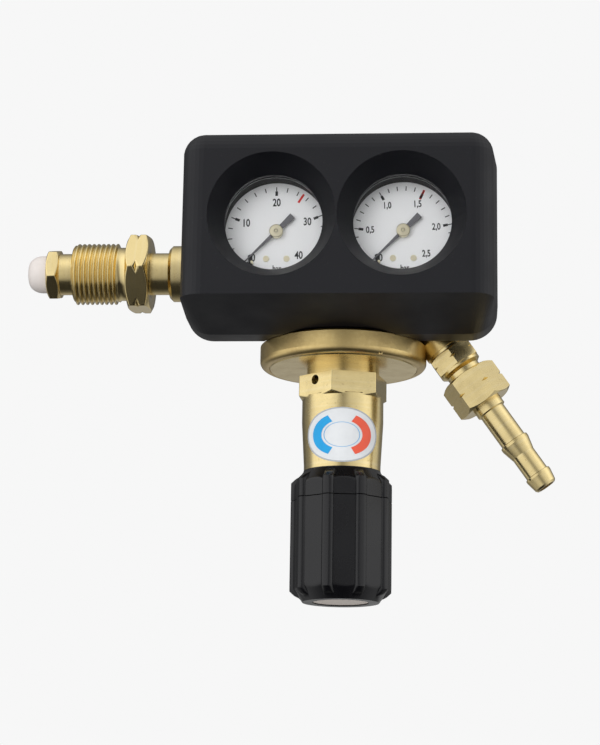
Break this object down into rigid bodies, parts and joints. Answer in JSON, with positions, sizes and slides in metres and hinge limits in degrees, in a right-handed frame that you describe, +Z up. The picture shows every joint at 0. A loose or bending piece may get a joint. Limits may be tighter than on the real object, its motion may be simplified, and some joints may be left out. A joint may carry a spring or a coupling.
{
  "type": "gas cylinder regulator",
  "caption": "Brass gas cylinder regulator with a captive inlet nut, two dials in a black hood, an adjusting knob and a barbed hose tail.",
  "frame": {"origin": "centre of the inlet thread, on the inlet axis", "axes": "+X from the inlet towards the body, -Y to the front with the dials, +Z up; the knob points along -Z"},
  "size_m": [0.1958, 0.0856, 0.1624],
  "materials": {
    "forged_brass": "sand-blasted forging",
    "turned_brass": "fine turned lines, bright",
    "bronze": "satin",
    "steel": "zinc-plated, satin",
    "black_rubber": "matt",
    "white_nylon": "satin, slightly translucent",
    "black_satin_plastic": "satin moulded",
    "black_knob_plastic": "semi-gloss moulded",
    "beige_plastic": "satin",
    "fibre": "matt",
    "dial_white": "matt white print ground",
    "pointer_grey": "satin",
    "clear_lens": "clear, flat"
  },
  "bodies": {
    "root": {"valve_body": "forged_brass", "hub_plug": "turned_brass", "plug_seal": "black_rubber", "valve_nozzle": "turned_brass", "diaphragm": "black_rubber", "slip_ring": "steel", "bonnet": "turned_brass", "inlet_spindle": "turned_brass", "inlet_nose": "turned_brass", "nose_seal": "white_nylon", "inlet_filter": "bronze", "hood_front": "black_satin_plastic", "rear_cover": "black_satin_plastic", "cover_screws": "steel", "outlet_adapter": "turned_brass", "outlet_washer": "fibre", "hose_tail": "turned_brass", "adjusting_spring": "steel", "valve_spring": "steel", "left_gauge_case": "steel", "left_gauge_socket": "turned_brass", "left_gauge_tube": "bronze", "left_gauge_movement": "turned_brass", "left_gauge_dial": "dial_white", "left_gauge_rivets": "turned_brass", "left_gauge_lens": "clear_lens", "left_gauge_lens_ring": "black_satin_plastic", "right_gauge_case": "steel", "right_gauge_socket": "turned_brass", "right_gauge_tube": "bronze", "right_gauge_movement": "turned_brass", "right_gauge_dial": "dial_white", "right_gauge_rivets": "turned_brass", "right_gauge_lens": "clear_lens", "right_gauge_lens_ring": "black_satin_plastic"},
    "inlet_nut": {"inlet_nut": "turned_brass"},
    "outlet_nut": {"outlet_nut": "turned_brass"},
    "knob": {"knob": "black_knob_plastic", "knob_ring": "black_knob_plastic", "knob_disc": "beige_plastic"},
    "adjusting_screw": {"adjusting_screw": "steel"},
    "spring_button": {"spring_button": "steel", "thrust_ball": "steel"},
    "diaphragm_plate": {"diaphragm_plate": "steel"},
    "valve_poppet": {"valve_poppet": "steel"},
    "left_gauge_pointer": {"left_gauge_pointer": "pointer_grey", "left_gauge_pinion": "turned_brass"},
    "left_gauge_sector": {"left_gauge_sector": "turned_brass"},
    "right_gauge_pointer": {"right_gauge_pointer": "pointer_grey", "right_gauge_pinion": "turned_brass"},
    "right_gauge_sector": {"right_gauge_sector": "turned_brass"}
  },
  "joints": [
    {"name": "inlet_nut_turn", "type": "hinge", "parent": "root", "child": "inlet_nut", "pos_m": [0, 0, 0], "axis": [1, 0, 0], "continuous": true},
    {"name": "outlet_nut_turn", "type": "hinge", "parent": "root", "child": "outlet_nut", "pos_m": [0.142, 0, -0.04456], "axis": [0.5736, 0, -0.8192], "continuous": true},
    {"name": "knob_turn", "type": "hinge", "parent": "root", "child": "knob", "pos_m": [0.093, 0, -0.1], "axis": [0, 0, 1], "range_deg": [0, 1980]},
    {"name": "screw_feed", "type": "slide", "parent": "knob", "child": "adjusting_screw", "axis": [0, 0, 1], "range_m": [0, 0.00826]},
    {"name": "button_slide", "type": "slide", "parent": "root", "child": "spring_button", "axis": [0, 0, 1], "range_m": [0, 0.00826], "deforming": ["adjusting_spring"]},
    {"name": "plate_lift", "type": "slide", "parent": "root", "child": "diaphragm_plate", "axis": [0, 0, 1], "range_m": [0, 0.00061], "deforming": ["diaphragm"]},
    {"name": "poppet_lift", "type": "slide", "parent": "root", "child": "valve_poppet", "axis": [0, 0, 1], "range_m": [0, 0.00061], "deforming": ["valve_spring"]},
    {"name": "left_gauge_pointer_turn", "type": "hinge", "parent": "root", "child": "left_gauge_pointer", "pos_m": [0.0702, -0.03, 0.0067], "axis": [0, 1, 0], "range_deg": [0, 270], "stiffness_Nm_per_rad": 0.00002},
    {"name": "left_gauge_sector_turn", "type": "hinge", "parent": "root", "child": "left_gauge_sector", "pos_m": [0.0636, -0.02, 0.0001], "axis": [0, 1, 0], "range_deg": [-45.1, 0]},
    {"name": "right_gauge_pointer_turn", "type": "hinge", "parent": "root", "child": "right_gauge_pointer", "pos_m": [0.1158, -0.03, 0.0067], "axis": [0, 1, 0], "range_deg": [0, 270], "stiffness_Nm_per_rad": 0.00002},
    {"name": "right_gauge_sector_turn", "type": "hinge", "parent": "root", "child": "right_gauge_sector", "pos_m": [0.1092, -0.02, 0.0001], "axis": [0, 1, 0], "range_deg": [-45.1, 0]}
  ],
  "couplings": [
    {"joint": "screw_feed", "follows": "knob_turn", "m_per_rad": 0.00023873},
    {"joint": "button_slide", "follows": "knob_turn", "m_per_rad": 0.00023873},
    {"joint": "plate_lift", "follows": "knob_turn", "m_per_rad": 0.000017362},
    {"joint": "poppet_lift", "follows": "knob_turn", "m_per_rad": 0.000017362},
    {"joint": "left_gauge_sector_turn", "follows": "left_gauge_pointer_turn", "ratio": -0.16667},
    {"joint": "right_gauge_sector_turn", "follows": "right_gauge_pointer_turn", "ratio": -0.16667}
  ]
}
